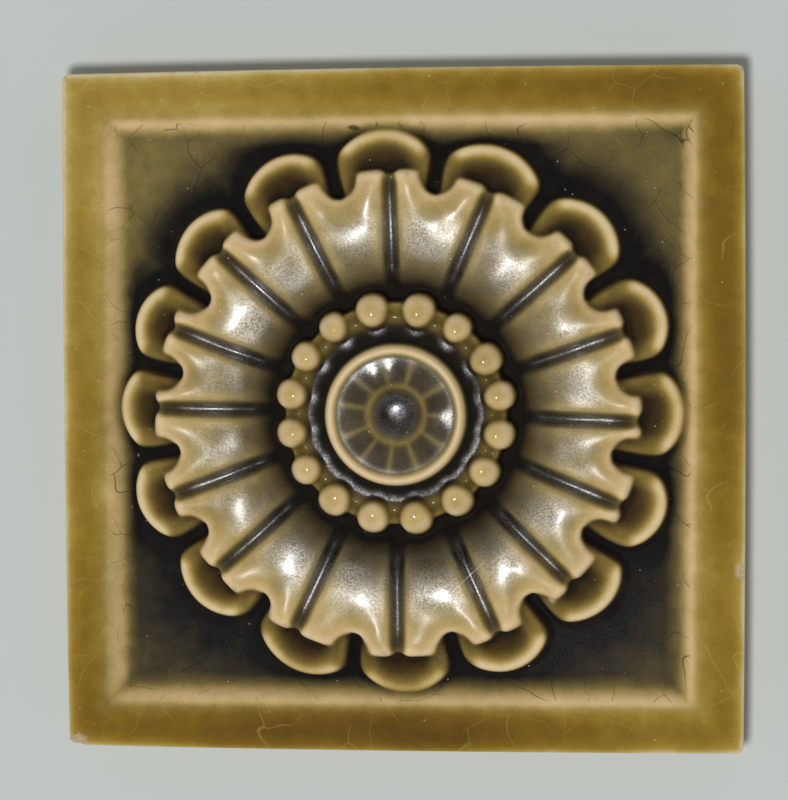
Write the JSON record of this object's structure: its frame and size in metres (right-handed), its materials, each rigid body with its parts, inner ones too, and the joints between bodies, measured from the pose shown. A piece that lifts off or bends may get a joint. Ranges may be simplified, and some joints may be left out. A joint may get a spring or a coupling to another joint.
{
  "type": "relief wall tile",
  "caption": "Square pressed earthenware wall tile with a raised border and a petalled rosette in relief under pooled amber glaze.",
  "frame": {"origin": "centre of the tile's flat back, the face that is bedded on the wall", "axes": "+Z out of the glazed face, +Y towards the top edge of the face, +X to the right of the face"},
  "size_m": [0.1532, 0.1536, 0.0195],
  "materials": {
    "glaze": "glossy amber glaze that pools dark in the hollows, over buff clay"
  },
  "bodies": {
    "root": {"tile": "glaze"}
  },
  "joints": []
}
